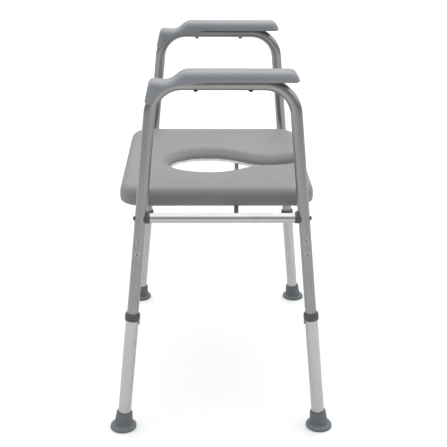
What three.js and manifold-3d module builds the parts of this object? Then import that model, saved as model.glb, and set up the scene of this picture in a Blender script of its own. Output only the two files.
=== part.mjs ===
// Shower stool with two armrests, four height-adjustable legs and a soft seat with a keyhole opening.
//
// Millimetres, +Z up. The origin is on the floor under the middle of the stool. The open end of the
// seat's opening is the front, at -Y. Right and left are those of a person sitting in the stool, so
// right is -X. Each side is one bent tube that makes the armrest and two legs, and both sides lean
// inwards. A leg tube slides over each end of it and is held by a spring button.

import * as THREE from 'three';
import { mergeVertices } from 'three/addons/utils/BufferGeometryUtils.js';
import Module from 'manifold-3d';

const wasm = await Module();
wasm.setup();

// ---------------------------------------------------------------- driving dimensions

const GAP = 0.3; // clearance between pieces that touch

// where the axis of a leg meets the floor and the level of the arm tube
const FOOT_X = 300;
const FOOT_Y = 198;
const ARM_X = 256;
const ARM_Y = 129;
const ARM_Z = 694;
const BEND_RADIUS = 60;

// bent tube of a side frame
const TUBE_R = 11.1;
const TUBE_BORE = 9.9;
const TUBE_END = 150; // distance along the leg from the floor to the tube's open end

// sliding leg tube, with its holes from the tallest setting downwards
const LEG_R = 12.7;
const LEG_BORE = 11.5;
const LEG_START = 9;
const LEG_END = 248;
const HOLE_R = 3.8;
const HOLE_TOP = 230;
const HOLE_PITCH = 20;
const HOLE_COUNT = 7;

// collar on top of the leg tube
const COLLAR_START = 235.5;
const COLLAR_END = 250.5;
const COLLAR_R = 14.8;

// spring button and its leaf spring, inside the frame tube
const PIN_R = 3.3;
const PIN_TIP = 15.4;
const LEAF = 1;
const LEAF_WIDTH = 7;
const LEAF_FRONT = 8.2;
const LEAF_BACK = -8.9;
const LEAF_LOW = 208.5;
const LEAF_TOP = 262.5;

// rubber foot
const FOOT_R = 26;
const FOOT_NECK_R = 15.8;
const FOOT_HEIGHT = 35;

// rivets above the collar's highest place
const RIVET_LEVELS = [375.5, 401.5];
const RIVET_R = 4.7;
const RIVET_SHANK_R = 2.3;
const RIVET_BULB_R = 3.2; // inside the tube

// seat frame
const RAIL_R = 9.5; // rails at the sides and tubes across
const RAIL_BORE = 8.3;
const RAIL_Z = 441;
const RAIL_END = 136.5;
const CROSS_Y = 157;
const CROSS_Z = 433.5;
const CROSS_END = 246;
const SPIGOT_R = RAIL_BORE - GAP;
const SPIGOT_LENGTH = 22;
const SADDLE_R = 10.6;
const SADDLE_REACH = 147;
const HUB_R = 10.4;
const WEB_R = 7;
const BOLT_R = 3;
const BOLT_HEAD_R = 3.9;
const BOLT_HEAD = 2.6;
const BAR_Y = [-26, -45]; // at the right rail and at the left rail
const BAR_Z = 438.4;
const BAR_R = 4.6;

// seat
const SEAT_X = 218;
const SEAT_FRONT = -181;
const SEAT_BACK = 200;
const SEAT_CORNER = 45;
const SEAT_BOTTOM = 443.5;
const SEAT_TOP = 480;
const SEAT_EDGE = 19;
const SEAT_LAYERS = 3; // steps of the rounded edge
const EDGE_TURN = 0.41 * Math.PI; // how far round the edge the top step reaches
const POCKET_LAP = 12;
const OPENING_X = 70; // half the width at its widest
const OPENING_Y = 22;
const OPENING_BACK = 108;
const SLOT_X = 23; // half the width of the slot
const SLOT_START = -92;
const MOUTH_R = 14;
const BOARD_BOTTOM = 443.5;
const BOARD_TOP = 449.5;
const BOARD_INSET = 9;
const BOARD_SETBACK = 0.6; // behind the cushion's edge, all round the opening

// clips that hold the seat board on the cross tubes
const CLIP_X = 150;
const CLIP_WIDTH = 22;
const CLIP_WALL = 3.2;
const CLIP_TAB = 18;
const CLIP_THICK = 3;
const CLIP_NECK = 5; // half the width of the clip's mouth
const CLIP_SCREW = 7.4;
const SCREW_HOLE_R = 2.3;

// armrest pad
const PAD_WIDTH = 50;
const PAD_TOP = 720;
const PAD_BOTTOM = 701;
const PAD_FRONT = -138;
const PAD_STEP = 70;
const PAD_BACK = 143;
const PAD_DIP = 700.5;
const PAD_TONGUE_TURN = 0.42; // how far round the rear bend the tongue stops, in radians above level
const ARM_SCREW_Y = [-50, 50];
const SCREW_R = 1.9; // of the arm screws and the clip screws
const SCREW_HEAD_R = 4.4;

// holes through one wall of a leg run from inside its bore to outside it
const WALL_FROM = 4;
const WALL_TO = 20;

const AXES = {
  x: new THREE.Vector3(1, 0, 0),
  y: new THREE.Vector3(0, 1, 0),
  z: new THREE.Vector3(0, 0, 1),
};

// ---------------------------------------------------------------- materials

function material(colour, roughness, metalness) {
  return new THREE.MeshStandardMaterial({ color: colour, roughness, metalness });
}

const MATERIALS = {
  frame: () => material(0x8c8c8a, 0.42, 0.9),
  leg: () => material(0xb6b6b4, 0.35, 0.95),
  rail: () => material(0xcfcfcd, 0.28, 1),
  plastic: () => material(0x4c4d4e, 0.6, 0),
  rubber: () => material(0x5f676b, 0.75, 0),
  seat: () => material(0xa5a5a3, 0.55, 0),
  board: () => material(0xc4c4c0, 0.55, 0),
  pad: () => material(0x9aa0a4, 0.5, 0),
  steel: () => material(0x8b8d8f, 0.35, 1),
  darkSteel: () => material(0x3b3c3e, 0.45, 0.9),
};

// ---------------------------------------------------------------- solids: join, cut and mesh

function solid(geometry) {
  const bare = geometry.index ? geometry.toNonIndexed() : geometry.clone();
  for (const name of Object.keys(bare.attributes)) {
    if (name !== 'position') bare.deleteAttribute(name);
  }
  const merged = mergeVertices(bare, 1e-4);
  const triangles = [];
  for (let i = 0; i < merged.index.count; i += 3) {
    const [a, b, c] = [merged.index.getX(i), merged.index.getX(i + 1), merged.index.getX(i + 2)];
    if (a !== b && b !== c && c !== a) triangles.push(a, b, c);
  }
  return new wasm.Manifold(new wasm.Mesh({
    numProp: 3,
    vertProperties: new Float32Array(merged.attributes.position.array),
    triVerts: new Uint32Array(triangles),
  }));
}

function geometryOf(body) {
  const mesh = body.getMesh();
  const geometry = new THREE.BufferGeometry();
  geometry.setAttribute('position', new THREE.BufferAttribute(new Float32Array(mesh.vertProperties), 3));
  geometry.setIndex(new THREE.BufferAttribute(new Uint32Array(mesh.triVerts), 1));
  geometry.computeVertexNormals();
  return geometry;
}

// the first geometry, joined with those in `added`, less those in `removed`
function carve(base, added, removed) {
  let body = solid(base);
  for (const piece of added) body = body.add(solid(piece));
  for (const piece of removed) body = body.subtract(solid(piece));
  return geometryOf(body);
}

function piece(name, geometry, kind) {
  const mesh = new THREE.Mesh(geometry, MATERIALS[kind]());
  mesh.name = name;
  return mesh;
}

// ---------------------------------------------------------------- simple shapes

// a cylinder from one point to another
function rod(from, to, radius, sides = 8) {
  const axis = new THREE.Vector3().subVectors(to, from);
  const geometry = new THREE.CylinderGeometry(radius, radius, axis.length(), sides);
  const turn = new THREE.Quaternion().setFromUnitVectors(AXES.y, axis.clone().normalize());
  geometry.applyQuaternion(turn);
  geometry.translate((from.x + to.x) / 2, (from.y + to.y) / 2, (from.z + to.z) / 2);
  return geometry;
}

function point(x, y, z) {
  return new THREE.Vector3(x, y, z);
}

function block(low, high) {
  const geometry = new THREE.BoxGeometry(high.x - low.x, high.y - low.y, high.z - low.z);
  geometry.translate((low.x + high.x) / 2, (low.y + high.y) / 2, (low.z + high.z) / 2);
  return geometry;
}

// a body turned about Z from [radius, height] pairs
function turned(profile, sides = 20) {
  const points = profile.map(([r, h]) => new THREE.Vector2(r, h));
  const geometry = new THREE.LatheGeometry(points, sides);
  geometry.rotateX(Math.PI / 2);
  return geometry;
}

// the same, with its axis laid along `direction` from `origin`
function turnedAlong(profile, origin, direction, sides) {
  const geometry = turned(profile, sides);
  geometry.applyQuaternion(new THREE.Quaternion().setFromUnitVectors(AXES.z, direction));
  geometry.translate(origin.x, origin.y, origin.z);
  return geometry;
}

function circlePath(radius, sides) {
  const path = new THREE.Path();
  for (let i = 0; i < sides; i += 1) {
    const angle = (2 * Math.PI * i) / sides;
    const place = [radius * Math.cos(angle), radius * Math.sin(angle)];
    if (i === 0) path.moveTo(...place);
    else path.lineTo(...place);
  }
  path.closePath();
  return path;
}

function ringShape(radius, bore, sides = 16) {
  const shape = new THREE.Shape(circlePath(radius, sides).getPoints());
  if (bore > 0) shape.holes.push(circlePath(bore, sides));
  return shape;
}

// a shape drawn in Y and Z, with its thickness along X and its middle at `x`
function acrossX(shape, width, x, bevel = 0) {
  const geometry = new THREE.ExtrudeGeometry(shape, {
    depth: width - 2 * bevel,
    bevelEnabled: bevel > 0,
    bevelThickness: bevel,
    bevelSize: bevel,
    bevelOffset: -bevel,
    bevelSegments: 2,
    curveSegments: 5,
  });
  geometry.translate(0, 0, bevel - width / 2);
  geometry.applyMatrix4(new THREE.Matrix4().makeBasis(AXES.y, AXES.z, AXES.x));
  geometry.translate(x, 0, 0);
  return geometry;
}

function straightTube(from, to, radius, bore) {
  const axis = new THREE.Vector3().subVectors(to, from);
  const shape = ringShape(radius, bore);
  const geometry = new THREE.ExtrudeGeometry(shape, { depth: axis.length(), bevelEnabled: false });
  geometry.applyQuaternion(new THREE.Quaternion().setFromUnitVectors(AXES.z, axis.normalize()));
  geometry.translate(from.x, from.y, from.z);
  return geometry;
}

// ---------------------------------------------------------------- legs and their frames of reference

// unit vector up a leg, for the side sx (-1 right, +1 left) and the end sy (-1 front, +1 back)
function legDirection(sx, sy) {
  return point(sx * (ARM_X - FOOT_X), sy * (ARM_Y - FOOT_Y), ARM_Z).normalize();
}

// a point on the leg's axis at the distance `s` from the floor
function onLeg(sx, sy, s) {
  return point(sx * FOOT_X, sy * FOOT_Y, 0).addScaledVector(legDirection(sx, sy), s);
}

// a group whose Z runs up the leg and whose Y points to the middle of the side
function legGroup(sx, sy) {
  const up = legDirection(sx, sy);
  const inward = point(0, -sy, 0).addScaledVector(up, sy * up.y).normalize();
  const across = new THREE.Vector3().crossVectors(inward, up);
  const group = new THREE.Group();
  group.position.set(sx * FOOT_X, sy * FOOT_Y, 0);
  group.quaternion.setFromRotationMatrix(new THREE.Matrix4().makeBasis(across, inward, up));
  group.updateMatrix();
  return group;
}

// the sign of the group's X that points away from the stool
function outwardSign(sx, sy) {
  return -sx * sy;
}

// ---------------------------------------------------------------- side frame

// A curve that is sampled only at its stations, so that straight stretches cost no triangles.
class StationCurve extends THREE.Curve {
  constructor(stations) {
    super();
    this.stations = stations;
  }

  station(t) {
    return this.stations[Math.round(t * (this.stations.length - 1))];
  }

  getPoint(t) {
    return this.station(t).place.clone();
  }

  getPointAt(t) {
    return this.getPoint(t);
  }

  getTangentAt(t) {
    return this.station(t).heading.clone();
  }
}

function sideStations(sx) {
  const up = legDirection(sx, -1);
  const down = legDirection(sx, 1).negate();
  const corner = { front: point(sx * ARM_X, -ARM_Y, ARM_Z), back: point(sx * ARM_X, ARM_Y, ARM_Z) };
  const stations = [{ place: onLeg(sx, -1, TUBE_END), heading: up }];
  const bend = (at, into, out) => {
    const turn = into.angleTo(out);
    const reach = BEND_RADIUS * Math.tan(turn / 2);
    const start = at.clone().addScaledVector(into, -reach);
    const axis = new THREE.Vector3().crossVectors(into, out).normalize();
    const centre = start.clone().addScaledVector(new THREE.Vector3().crossVectors(axis, into), BEND_RADIUS);
    const steps = 6;
    for (let i = 0; i <= steps; i += 1) {
      const angle = (turn * i) / steps;
      const arm = new THREE.Vector3().subVectors(start, centre).applyAxisAngle(axis, angle);
      stations.push({ place: centre.clone().add(arm), heading: into.clone().applyAxisAngle(axis, angle) });
    }
  };
  bend(corner.front, up, AXES.y);
  bend(corner.back, AXES.y, down);
  stations.push({ place: onLeg(sx, 1, TUBE_END), heading: down });
  return stations;
}

function frameSweep(sx, radius, bore) {
  const stations = sideStations(sx);
  return new THREE.ExtrudeGeometry(ringShape(radius, bore), {
    steps: stations.length - 1,
    extrudePath: new StationCurve(stations),
  });
}

function sideFrame(sx) {
  const holes = [];
  for (const sy of [-1, 1]) {
    const { matrix } = legGroup(sx, sy);
    const out = outwardSign(sx, sy);
    const button = rod(point(0, WALL_FROM, HOLE_TOP), point(0, WALL_TO, HOLE_TOP), HOLE_R);
    holes.push(button.applyMatrix4(matrix));
    for (const level of RIVET_LEVELS) {
      const hole = rod(point(out * WALL_FROM, 0, level), point(out * WALL_TO, 0, level), RIVET_SHANK_R + GAP);
      holes.push(hole.applyMatrix4(matrix));
    }
    const bolt = railBoltLine(sx, sy);
    holes.push(rod(bolt.head, bolt.tip, BOLT_R + GAP));
  }
  for (const y of ARM_SCREW_Y) {
    holes.push(rod(point(sx * ARM_X, y, ARM_Z - 20), point(sx * ARM_X, y, ARM_Z + 20), SCREW_R + GAP));
  }
  return carve(frameSweep(sx, TUBE_R, TUBE_BORE), [], holes);
}

// ---------------------------------------------------------------- sliding leg, collar, foot

function legTube() {
  const tube = straightTube(point(0, 0, LEG_START), point(0, 0, LEG_END), LEG_R, LEG_BORE);
  const holes = [];
  for (let i = 0; i < HOLE_COUNT; i += 1) {
    const level = HOLE_TOP - i * HOLE_PITCH;
    holes.push(rod(point(0, WALL_FROM, level), point(0, WALL_TO, level), HOLE_R));
  }
  return carve(tube, [], holes);
}

function collar() {
  const lip = TUBE_R + GAP;
  const bore = LEG_R + GAP;
  const shelf = LEG_END + GAP;
  return turned([
    [bore, COLLAR_START],
    [COLLAR_R - 0.8, COLLAR_START],
    [COLLAR_R, COLLAR_START + 1.2],
    [COLLAR_R, COLLAR_END - 2],
    [COLLAR_R - 1.8, COLLAR_END],
    [lip, COLLAR_END],
    [lip, shelf],
    [bore, shelf],
    [bore, COLLAR_START],
  ]);
}

// A body skinned over circles, each with its own centre and axis. The first and last circles are
// closed with a fan, so the outside, the socket and the base are one surface.
function skinned(circles, sides = 20) {
  const positions = [];
  const index = [];
  for (const { centre, axis, radius } of circles) {
    const turn = new THREE.Quaternion().setFromUnitVectors(AXES.z, axis);
    for (let i = 0; i < sides; i += 1) {
      const angle = (2 * Math.PI * i) / sides;
      const arm = point(radius * Math.cos(angle), radius * Math.sin(angle), 0).applyQuaternion(turn);
      positions.push(...arm.add(centre).toArray());
    }
  }
  for (let ring = 0; ring + 1 < circles.length; ring += 1) {
    for (let i = 0; i < sides; i += 1) {
      const a = ring * sides + i;
      const b = ring * sides + ((i + 1) % sides);
      index.push(a, b, b + sides, a, b + sides, a + sides);
    }
  }
  const cap = (ring, flip) => {
    const middle = positions.length / 3;
    positions.push(...circles[ring].centre.toArray());
    for (let i = 0; i < sides; i += 1) {
      const a = ring * sides + i;
      const b = ring * sides + ((i + 1) % sides);
      if (flip) index.push(middle, b, a);
      else index.push(middle, a, b);
    }
  };
  cap(0, true);
  cap(circles.length - 1, false);
  const geometry = new THREE.BufferGeometry();
  geometry.setAttribute('position', new THREE.BufferAttribute(new Float32Array(positions), 3));
  geometry.setIndex(index);
  geometry.computeVertexNormals();
  return geometry;
}

// The base of the foot is level with the floor, and its neck and socket follow the leg.
function foot(sx, sy) {
  const up = legDirection(sx, sy);
  const circle = (s, radius, lean) => ({
    centre: onLeg(sx, sy, s),
    axis: AXES.z.clone().lerp(up, lean).normalize(),
    radius,
  });
  const socket = LEG_R + GAP;
  return skinned([
    circle(0, FOOT_R - 1.5, 0),
    circle(1.4, FOOT_R, 0),
    circle(4.8, FOOT_R, 0),
    circle(6.6, FOOT_R - 1.8, 0.1),
    circle(7.4, FOOT_R - 4.2, 0.15),
    circle(8.6, FOOT_NECK_R + 3.2, 0.3),
    circle(13, FOOT_NECK_R + 2.4, 0.6),
    circle(22, FOOT_NECK_R + 1.2, 1),
    circle(FOOT_HEIGHT - 1.4, FOOT_NECK_R, 1),
    circle(FOOT_HEIGHT, FOOT_NECK_R - 1.2, 1),
    circle(FOOT_HEIGHT, socket, 1),
    circle(LEG_START - GAP, socket, 1),
  ]);
}

// ---------------------------------------------------------------- spring button and rivets

function snapButton() {
  const level = HOLE_TOP;
  const pin = turnedAlong([
    [0, LEAF_FRONT - LEAF],
    [PIN_R, LEAF_FRONT - LEAF],
    [PIN_R, PIN_TIP - 1.6],
    [PIN_R - 0.9, PIN_TIP - 0.4],
    [0, PIN_TIP],
  ], point(0, 0, level), AXES.y, 10);
  const half = LEAF_WIDTH / 2;
  const arm = block(point(-half, LEAF_FRONT - LEAF, LEAF_LOW), point(half, LEAF_FRONT, LEAF_TOP));
  return carve(pin, [arm], []);
}

// strip bent into a V, whose free arm is the button's own arm
function springClip() {
  const middle = (LEAF_FRONT + LEAF_BACK) / 2;
  const outer = (LEAF_FRONT - LEAF_BACK) / 2;
  const bendLevel = LEAF_TOP + 1;
  const shape = new THREE.Shape();
  shape.moveTo(LEAF_BACK, LEAF_LOW);
  shape.lineTo(LEAF_BACK + LEAF, LEAF_LOW);
  shape.lineTo(LEAF_BACK + LEAF, bendLevel);
  shape.absarc(middle, bendLevel, outer - LEAF, Math.PI, 0, true);
  shape.lineTo(LEAF_FRONT - LEAF, LEAF_TOP + GAP);
  shape.lineTo(LEAF_FRONT, LEAF_TOP + GAP);
  shape.lineTo(LEAF_FRONT, bendLevel);
  shape.absarc(middle, bendLevel, outer, 0, Math.PI, false);
  shape.closePath();
  return acrossX(shape, LEAF_WIDTH, 0);
}

function rivet(level, side) {
  const face = TUBE_R + GAP;
  return turnedAlong([
    [0, TUBE_BORE - 3.4],
    [RIVET_BULB_R, TUBE_BORE - 2.8],
    [RIVET_BULB_R, TUBE_BORE - 1.2],
    [RIVET_SHANK_R, TUBE_BORE - 0.9],
    [RIVET_SHANK_R, face],
    [RIVET_R, face],
    [RIVET_R - 0.4, face + 0.8],
    [2.2, face + 1.3],
    [1.6, face + 0.5],
    [0, face + 0.5],
  ], point(0, 0, level), point(side, 0, 0), 8);
}

// ---------------------------------------------------------------- seat frame

function railBoltLine(sx, sy) {
  const x = sx * (FOOT_X + ((ARM_X - FOOT_X) * RAIL_Z) / ARM_Z);
  const y = sy * (FOOT_Y + ((ARM_Y - FOOT_Y) * RAIL_Z) / ARM_Z);
  return { x, y, head: point(x, y + sy * 30, RAIL_Z), tip: point(x, y - sy * 36, RAIL_Z) };
}

function sideRail(sx) {
  const { x } = railBoltLine(sx, 1);
  const tube = straightTube(point(x, -RAIL_END, RAIL_Z), point(x, RAIL_END, RAIL_Z), RAIL_R, RAIL_BORE);
  const barY = sx < 0 ? BAR_Y[0] : BAR_Y[1];
  const socket = rod(point(x, barY, BAR_Z), point(x - sx * 20, barY, BAR_Z), BAR_R + GAP, 16);
  return carve(tube, [], [socket]);
}

function crossTube(sy) {
  const y = sy * CROSS_Y;
  return straightTube(point(-CROSS_END, y, CROSS_Z), point(CROSS_END, y, CROSS_Z), RAIL_R, RAIL_BORE);
}

function supportBar() {
  const reach = railBoltLine(1, 1).x - RAIL_BORE + 2;
  return rod(point(-reach, BAR_Y[0], BAR_Z), point(reach, BAR_Y[1], BAR_Z), BAR_R, 12);
}

// The saddle wraps the inner side of the leg. One spigot fills the end of the side rail, and the
// other fills the end of the cross tube.
function cornerSaddle(sx, sy) {
  const { x, y, head, tip } = railBoltLine(sx, sy);
  const railFace = sy * (RAIL_END + GAP);
  const crossFace = sx * (CROSS_END + GAP);
  const wing = rod(point(x, railFace, RAIL_Z), point(x, sy * SADDLE_REACH, RAIL_Z), SADDLE_R, 16);
  const railSpigot = rod(
    point(x, railFace + sy, RAIL_Z),
    point(x, railFace - sy * SPIGOT_LENGTH, RAIL_Z),
    SPIGOT_R,
    12,
  );
  const hubEnd = point(x - sx * 7, sy * CROSS_Y, CROSS_Z);
  const hub = rod(point(crossFace, sy * CROSS_Y, CROSS_Z), hubEnd, HUB_R, 16);
  const crossSpigot = rod(
    point(crossFace + sx, sy * CROSS_Y, CROSS_Z),
    point(crossFace - sx * SPIGOT_LENGTH, sy * CROSS_Y, CROSS_Z),
    SPIGOT_R,
    12,
  );
  const web = rod(
    point(x - sx * 12, y - sy * 9, CROSS_Z - 4),
    point(x - sx * 12, y - sy * 9, RAIL_Z + 8),
    WEB_R,
    12,
  );
  const legHole = rod(onLeg(sx, sy, 380), onLeg(sx, sy, 500), TUBE_R + GAP, 16);
  const outside = block(
    point(Math.min(x + sx * 3, x + sx * 30), Math.min(y + sy * 2, y + sy * 40), RAIL_Z - 40),
    point(Math.max(x + sx * 3, x + sx * 30), Math.max(y + sy * 2, y + sy * 40), RAIL_Z + 40),
  );
  const boltHole = rod(head, tip, BOLT_R + GAP, 10);
  return carve(wing, [railSpigot, hub, crossSpigot, web], [legHole, outside, boltHole]);
}

function railBolt(sx, sy) {
  const { x, y } = railBoltLine(sx, sy);
  const seatFace = TUBE_R + 0.8; // clear of the leaning tube
  return turnedAlong([
    [0, -34],
    [BOLT_R, -34],
    [BOLT_R, seatFace],
    [BOLT_HEAD_R, seatFace],
    [BOLT_HEAD_R, seatFace + BOLT_HEAD / 2],
    [BOLT_HEAD_R - 1.2, seatFace + BOLT_HEAD],
    [0, seatFace + BOLT_HEAD],
  ], point(x, y, RAIL_Z), point(0, sy, 0), 10);
}

// ---------------------------------------------------------------- seat

// Outline of the seat with its keyhole opening, drawn once for the cushion and once for the board.
// `grow` moves the outer edge outwards and `open` widens the opening.
function seatOutline(grow, open) {
  const sideX = SEAT_X + grow;
  const front = SEAT_FRONT - grow;
  const back = SEAT_BACK + grow;
  const corner = SEAT_CORNER + grow;
  const wide = OPENING_X + open;
  const slot = SLOT_X + open;
  const end = OPENING_BACK + open;
  const mouth = MOUTH_R;
  const shape = new THREE.Shape();
  shape.moveTo(slot, front + mouth);
  shape.quadraticCurveTo(slot, front, slot + mouth, front);
  shape.lineTo(sideX - corner, front);
  shape.absarc(sideX - corner, front + corner, corner, -Math.PI / 2, 0, false);
  shape.absarc(sideX - corner, back - corner, corner, 0, Math.PI / 2, false);
  shape.absarc(corner - sideX, back - corner, corner, Math.PI / 2, Math.PI, false);
  shape.absarc(corner - sideX, front + corner, corner, Math.PI, 1.5 * Math.PI, false);
  shape.lineTo(-slot - mouth, front);
  shape.quadraticCurveTo(-slot, front, -slot, front + mouth);
  shape.lineTo(-slot, SLOT_START);
  shape.bezierCurveTo(-slot, -55, -wide, -35, -wide, OPENING_Y);
  shape.bezierCurveTo(-wide, 75, -38 - open, end, 0, end);
  shape.bezierCurveTo(38 + open, end, wide, 75, wide, OPENING_Y);
  shape.bezierCurveTo(wide, -35, slot, -55, slot, SLOT_START);
  shape.closePath();
  return shape;
}

function seatSlab(grow, open, low, high) {
  const slab = new THREE.ExtrudeGeometry(seatOutline(grow, open), {
    depth: high - low,
    bevelEnabled: false,
    curveSegments: 5,
  });
  slab.translate(0, 0, low);
  return slab;
}

// soft upper edge in steps, and a pocket below for the board
function seatCushion() {
  const shoulder = SEAT_TOP - SEAT_EDGE;
  const body = seatSlab(0, 0, SEAT_BOTTOM, shoulder);
  const crown = [];
  for (let i = 1; i <= SEAT_LAYERS; i += 1) {
    const share = i / SEAT_LAYERS;
    const inset = SEAT_EDGE * (1 - Math.cos(EDGE_TURN * share));
    crown.push(seatSlab(-inset, inset, shoulder - 1, shoulder + SEAT_EDGE * share));
  }
  const pocket = seatSlab(GAP - BOARD_INSET, -POCKET_LAP, SEAT_BOTTOM - 1, BOARD_TOP + GAP);
  return carve(body, crown, [pocket]);
}

function seatBoard() {
  const holes = [];
  for (const sx of [-1, 1]) {
    for (const sy of [-1, 1]) {
      const { place } = clipScrewLine(sx, sy);
      const top = point(place.x, place.y, BOARD_TOP - 1);
      holes.push(rod(point(place.x, place.y, BOARD_BOTTOM - 1), top, SCREW_HOLE_R));
    }
  }
  return carve(seatSlab(-BOARD_INSET, BOARD_SETBACK, BOARD_BOTTOM, BOARD_TOP), [], holes);
}

// clip that goes around a cross tube, with one tab screwed to the board
function seatClip(sx, sy) {
  const x = sx * CLIP_X;
  const y = sy * CROSS_Y;
  const half = CLIP_WIDTH / 2;
  const top = BOARD_BOTTOM - GAP;
  const wall = RAIL_R + GAP + CLIP_WALL;
  const tabEnd = y - sy * (wall + CLIP_TAB);
  const hook = rod(point(x - half, y, CROSS_Z), point(x + half, y, CROSS_Z), wall, 16);
  const cheeks = block(point(x - half, y - wall, CROSS_Z), point(x + half, y + wall, top));
  const tab = block(
    point(x - half, Math.min(y, tabEnd), top - CLIP_THICK),
    point(x + half, Math.max(y, tabEnd), top),
  );
  const tubeHole = rod(point(x - 40, y, CROSS_Z), point(x + 40, y, CROSS_Z), RAIL_R + GAP, 16);
  const above = block(point(x - half - 1, y - wall - 1, top), point(x + half + 1, y + wall + 1, top + 20));
  const neck = block(
    point(x - half - 1, y - CLIP_NECK, CROSS_Z),
    point(x + half + 1, y + CLIP_NECK, top + 1),
  );
  const { place } = clipScrewLine(sx, sy);
  const screwHole = rod(point(place.x, place.y, 400), point(place.x, place.y, 470), SCREW_HOLE_R);
  return carve(hook, [cheeks, tab], [tubeHole, above, neck, screwHole]);
}

function clipScrewLine(sx, sy) {
  const y = sy * (CROSS_Y - RAIL_R - GAP - CLIP_WALL - CLIP_TAB / 2);
  return { place: point(sx * CLIP_X, y, BOARD_BOTTOM - CLIP_THICK - 2 * GAP) };
}

function clipScrew(sx, sy) {
  const { place } = clipScrewLine(sx, sy);
  return turnedAlong([
    [0, -2.4],
    [2.6, -2.4],
    [4.2, -1.2],
    [4.2, 0],
    [SCREW_R, 0],
    [SCREW_R, CLIP_SCREW],
    [0, CLIP_SCREW + 1],
  ], place, AXES.z, 8);
}

// ---------------------------------------------------------------- armrest

// Side view of the pad: flat, then a slope to the dip over the rear bend, then a tongue down the leg.
function padOutline() {
  const bendTurn = legDirection(1, -1).angleTo(AXES.y);
  const bendY = ARM_Y - BEND_RADIUS * Math.tan(bendTurn / 2);
  const bendZ = ARM_Z - BEND_RADIUS;
  const inner = BEND_RADIUS + 2;
  const shape = new THREE.Shape();
  shape.moveTo(PAD_FRONT, PAD_BOTTOM);
  shape.lineTo(bendY - 45, PAD_BOTTOM);
  shape.lineTo(bendY, bendZ + inner);
  shape.absarc(bendY, bendZ, inner, Math.PI / 2, PAD_TONGUE_TURN, true);
  shape.lineTo(PAD_BACK, bendZ + inner * Math.sin(PAD_TONGUE_TURN) + 4);
  shape.lineTo(PAD_BACK - 6, PAD_DIP - 10);
  shape.quadraticCurveTo(PAD_BACK - 8, PAD_DIP + 2, PAD_BACK - 18, PAD_DIP + 2);
  shape.lineTo(PAD_STEP + 38, PAD_DIP);
  shape.quadraticCurveTo(PAD_STEP + 28, PAD_DIP, PAD_STEP + 20, PAD_DIP + 5);
  shape.quadraticCurveTo(PAD_STEP + 4, PAD_TOP, PAD_STEP - 6, PAD_TOP);
  shape.lineTo(PAD_FRONT + 20, PAD_TOP);
  shape.quadraticCurveTo(PAD_FRONT + 8, PAD_TOP, PAD_FRONT + 4, PAD_TOP - 9);
  shape.closePath();
  return shape;
}

function armPad(sx) {
  const slab = acrossX(padOutline(), PAD_WIDTH, sx * ARM_X, 3);
  const holes = ARM_SCREW_Y.map((y) => rod(
    point(sx * ARM_X, y, ARM_Z),
    point(sx * ARM_X, y, PAD_TOP - 3),
    SCREW_HOLE_R,
  ));
  return carve(slab, [], [frameSweep(sx, TUBE_R + GAP, 0), ...holes]);
}

function armScrew(sx, y) {
  return turnedAlong([
    [0, -2.6],
    [3.4, -2.2],
    [SCREW_HEAD_R, 0],
    [SCREW_R, 0],
    [SCREW_R, 2 * TUBE_R + 9],
    [0, 2 * TUBE_R + 10],
  ], point(sx * ARM_X, y, ARM_Z - TUBE_R - GAP), AXES.z, 10);
}

// ---------------------------------------------------------------- the stool

const SIDES = [[-1, 'right'], [1, 'left']];
const ENDS = [[-1, 'front'], [1, 'back']];

const stool = new THREE.Group();

for (const [sx, side] of SIDES) {
  stool.add(piece(`side_frame_${side}`, sideFrame(sx), 'frame'));
  stool.add(piece(`side_rail_${side}`, sideRail(sx), 'rail'));
  stool.add(piece(`arm_pad_${side}`, armPad(sx), 'pad'));
  ARM_SCREW_Y.forEach((y, i) => {
    stool.add(piece(`arm_screw_${ENDS[i][1]}_${side}`, armScrew(sx, y), 'darkSteel'));
  });
  for (const [sy, end] of ENDS) {
    const corner = `${end}_${side}`;
    const leg = legGroup(sx, sy);
    leg.add(piece(`leg_tube_${corner}`, legTube(), 'leg'));
    leg.add(piece(`collar_${corner}`, collar(), 'plastic'));
    leg.add(piece(`snap_button_${corner}`, snapButton(), 'steel'));
    leg.add(piece(`spring_clip_${corner}`, springClip(), 'steel'));
    RIVET_LEVELS.forEach((level, i) => {
      const place = i === 0 ? 'lower' : 'upper';
      leg.add(piece(`rivet_${place}_${corner}`, rivet(level, outwardSign(sx, sy)), 'steel'));
    });
    stool.add(leg);
    stool.add(piece(`foot_${corner}`, foot(sx, sy), 'rubber'));
    stool.add(piece(`corner_saddle_${corner}`, cornerSaddle(sx, sy), 'plastic'));
    stool.add(piece(`rail_bolt_${corner}`, railBolt(sx, sy), 'darkSteel'));
    stool.add(piece(`seat_clip_${corner}`, seatClip(sx, sy), 'plastic'));
    stool.add(piece(`clip_screw_${corner}`, clipScrew(sx, sy), 'steel'));
  }
}
for (const [sy, end] of ENDS) stool.add(piece(`cross_tube_${end}`, crossTube(sy), 'rail'));
stool.add(piece('support_bar', supportBar(), 'plastic'));
stool.add(piece('seat_board', seatBoard(), 'board'));
stool.add(piece('seat_cushion', seatCushion(), 'seat'));

export default stool;
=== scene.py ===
import math

import bmesh
import bpy
from mathutils import Matrix, Vector, geometry, noise


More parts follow.
